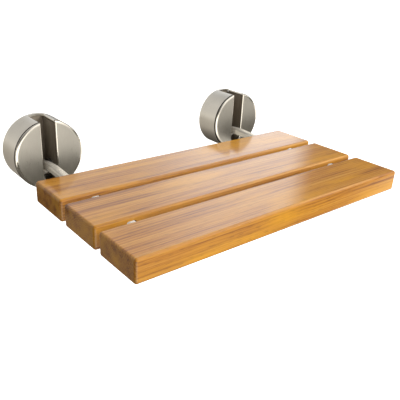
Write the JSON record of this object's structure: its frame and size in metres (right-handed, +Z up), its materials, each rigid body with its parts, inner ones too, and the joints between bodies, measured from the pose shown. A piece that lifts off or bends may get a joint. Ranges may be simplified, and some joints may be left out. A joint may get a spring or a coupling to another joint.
{
  "type": "fold-down shower seat",
  "caption": "Wall-mounted fold-down shower seat: three varnished wooden slats on two steel arms that hinge in round slotted wall covers.",
  "frame": {"origin": "on the wall plane, midway between the two wall mounts and level with their centres", "axes": "+X along the slats to the right as seen from the front, +Y into the wall, +Z up"},
  "size_m": [0.403, 0.303, 0.088],
  "materials": {
    "oiled_wood": "glossy varnish",
    "satin_nickel": "satin brushed nickel",
    "satin_steel": "satin with polished edges",
    "dark_casting": "satin black-brown coating",
    "steel": "plain stainless",
    "spring_steel": "blackened",
    "nylon": "natural nylon",
    "rubber": "matt"
  },
  "bodies": {
    "wall_mounts": {"left_wall_bracket": "dark_casting", "right_wall_bracket": "dark_casting", "left_cover": "satin_nickel", "right_cover": "satin_nickel", "left_cover_screw": "steel", "right_cover_screw": "steel", "left_hinge_pin": "steel", "right_hinge_pin": "steel", "left_pin_clip": "spring_steel", "right_pin_clip": "spring_steel", "left_friction_washers": "steel", "right_friction_washers": "steel", "left_stop_pad": "rubber", "right_stop_pad": "rubber"},
    "seat": {"left_hinge_bushes": "nylon", "right_hinge_bushes": "nylon", "left_arm": "satin_steel", "right_arm": "satin_steel", "left_slat_screws": "steel", "right_slat_screws": "steel", "back_slat": "oiled_wood", "middle_slat": "oiled_wood", "front_slat": "oiled_wood"}
  },
  "joints": [
    {"name": "seat_fold", "type": "hinge", "parent": "wall_mounts", "child": "seat", "pos_m": [0, -0.02, -0.02], "axis": [-1, 0, 0], "range_deg": [0, 90]}
  ]
}
